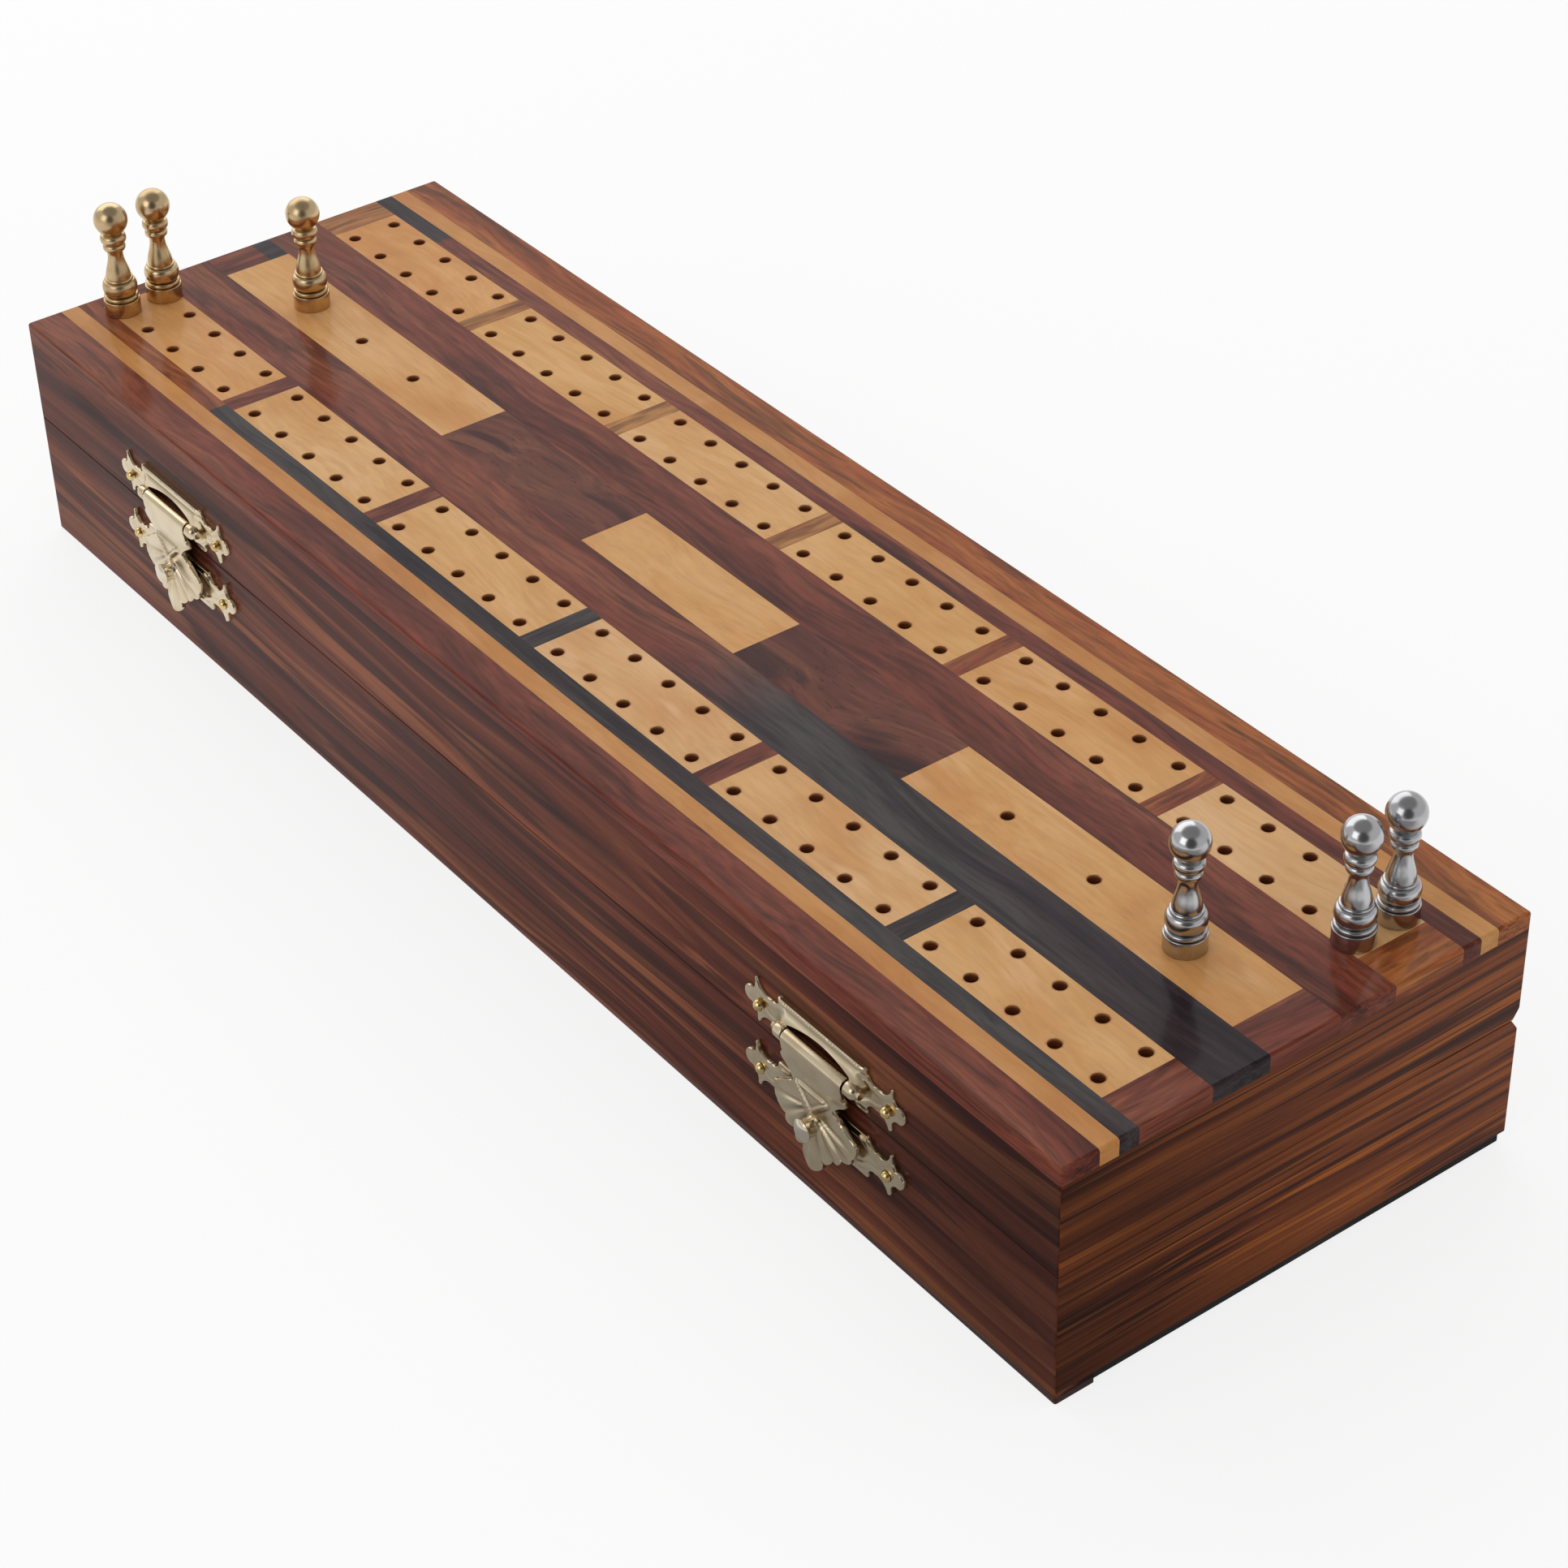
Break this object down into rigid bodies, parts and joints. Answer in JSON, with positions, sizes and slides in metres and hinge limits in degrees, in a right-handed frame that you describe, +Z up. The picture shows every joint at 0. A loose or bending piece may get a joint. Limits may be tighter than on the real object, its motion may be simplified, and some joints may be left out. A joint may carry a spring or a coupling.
{
  "type": "cribbage box",
  "caption": "Long wooden box whose hinged lid is an inlaid cribbage board with peg tracks, turned metal pegs and swing catches on the front.",
  "frame": {"origin": "middle of the box's underside, which is the face it rests on", "axes": "+X along the box towards its right end, -Y out of the front with the catches, +Z up"},
  "size_m": [0.33, 0.1061, 0.0747],
  "materials": {
    "rosewood_board": "semi-gloss rosewood, streaked along its length",
    "rosewood_strip": "semi-gloss rosewood, flush inlay",
    "ebony_strip": "semi-gloss ebony, flush inlay",
    "maple_strip": "semi-gloss pale wood, flush inlay",
    "maple_tile": "semi-gloss pale wood, fine straight grain",
    "separator_wood": "semi-gloss mixed dark woods, flush inlay",
    "core_board": "unfinished softwood core",
    "dark_bottom": "matt black stained board",
    "divider_wood": "oiled rosewood",
    "felt": "green felt",
    "hinge_brass": "satin brass",
    "catch_brass": "satin pale brass, stamped",
    "knob_metal": "polished pale brass",
    "nail_brass": "polished brass",
    "peg_brass": "polished brass",
    "peg_steel": "polished steel"
  },
  "bodies": {
    "base": {"base_front_wall": "rosewood_board", "base_back_wall": "rosewood_board", "base_left_end": "rosewood_board", "base_right_end": "rosewood_board", "bottom_board": "dark_bottom", "divider_left": "divider_wood", "divider_right": "divider_wood", "well_felts": "felt", "keeper_plate_left": "catch_brass", "keeper_plate_right": "catch_brass", "keeper_nails": "nail_brass", "hinge_base_leaf_left": "hinge_brass", "hinge_base_leaf_right": "hinge_brass", "hinge_pin_left": "hinge_brass", "hinge_pin_right": "hinge_brass", "hinge_base_screws": "hinge_brass"},
    "lid": {"lid_front_wall": "rosewood_board", "lid_back_wall": "rosewood_board", "lid_left_end": "rosewood_board", "lid_right_end": "rosewood_board", "lid_core_board": "core_board", "lid_felt": "felt", "border_front": "rosewood_strip", "border_back": "rosewood_strip", "light_strip_front": "maple_strip", "light_strip_back": "maple_strip", "dark_strip_front": "ebony_strip", "dark_strip_back": "ebony_strip", "long_strip_front": "rosewood_strip", "long_strip_back": "rosewood_strip", "track_tiles_front": "maple_tile", "track_tiles_back": "maple_tile", "track_separators_front": "separator_wood", "track_separators_back": "separator_wood", "track_end_blocks_front": "separator_wood", "track_end_blocks_back": "separator_wood", "centre_panel_left": "maple_tile", "centre_panel_middle": "maple_tile", "centre_panel_right": "maple_tile", "centre_fillers": "ebony_strip", "centre_end_blocks": "rosewood_strip", "hinge_lid_leaf_left": "hinge_brass", "hinge_lid_leaf_right": "hinge_brass", "hinge_lid_screws": "hinge_brass", "catch_plate_left": "catch_brass", "catch_plate_right": "catch_brass", "catch_pin_left": "catch_brass", "catch_pin_right": "catch_brass", "catch_plate_nails": "nail_brass"},
    "leaf_left": {"catch_leaf_left": "catch_brass", "catch_knob_left": "knob_metal"},
    "leaf_right": {"catch_leaf_right": "catch_brass", "catch_knob_right": "knob_metal"},
    "peg_brass_outer": {"peg_brass_outer": "peg_brass"},
    "peg_brass_inner": {"peg_brass_inner": "peg_brass"},
    "peg_brass_centre": {"peg_brass_centre": "peg_brass"},
    "peg_steel_outer": {"peg_steel_outer": "peg_steel"},
    "peg_steel_inner": {"peg_steel_inner": "peg_steel"},
    "peg_steel_centre": {"peg_steel_centre": "peg_steel"}
  },
  "joints": [
    {"name": "lid_hinge", "type": "hinge", "parent": "base", "child": "lid", "pos_m": [0, 0.0482, 0.0276], "axis": [-1, 0, 0], "range_deg": [0, 110]},
    {"name": "leaf_left_swing", "type": "hinge", "parent": "lid", "child": "leaf_left", "pos_m": [-0.1065, -0.0518, 0.0333], "axis": [-1, 0, 0], "range_deg": [0, 115]},
    {"name": "leaf_right_swing", "type": "hinge", "parent": "lid", "child": "leaf_right", "pos_m": [0.1065, -0.0518, 0.0333], "axis": [-1, 0, 0], "range_deg": [0, 115]},
    {"name": "peg_brass_outer_lift", "type": "slide", "parent": "lid", "child": "peg_brass_outer", "axis": [0, 0, 1], "range_m": [0, 0.012]},
    {"name": "peg_brass_inner_lift", "type": "slide", "parent": "lid", "child": "peg_brass_inner", "axis": [0, 0, 1], "range_m": [0, 0.012]},
    {"name": "peg_brass_centre_lift", "type": "slide", "parent": "lid", "child": "peg_brass_centre", "axis": [0, 0, 1], "range_m": [0, 0.012]},
    {"name": "peg_steel_outer_lift", "type": "slide", "parent": "lid", "child": "peg_steel_outer", "axis": [0, 0, 1], "range_m": [0, 0.012]},
    {"name": "peg_steel_inner_lift", "type": "slide", "parent": "lid", "child": "peg_steel_inner", "axis": [0, 0, 1], "range_m": [0, 0.012]},
    {"name": "peg_steel_centre_lift", "type": "slide", "parent": "lid", "child": "peg_steel_centre", "axis": [0, 0, 1], "range_m": [0, 0.012]}
  ]
}
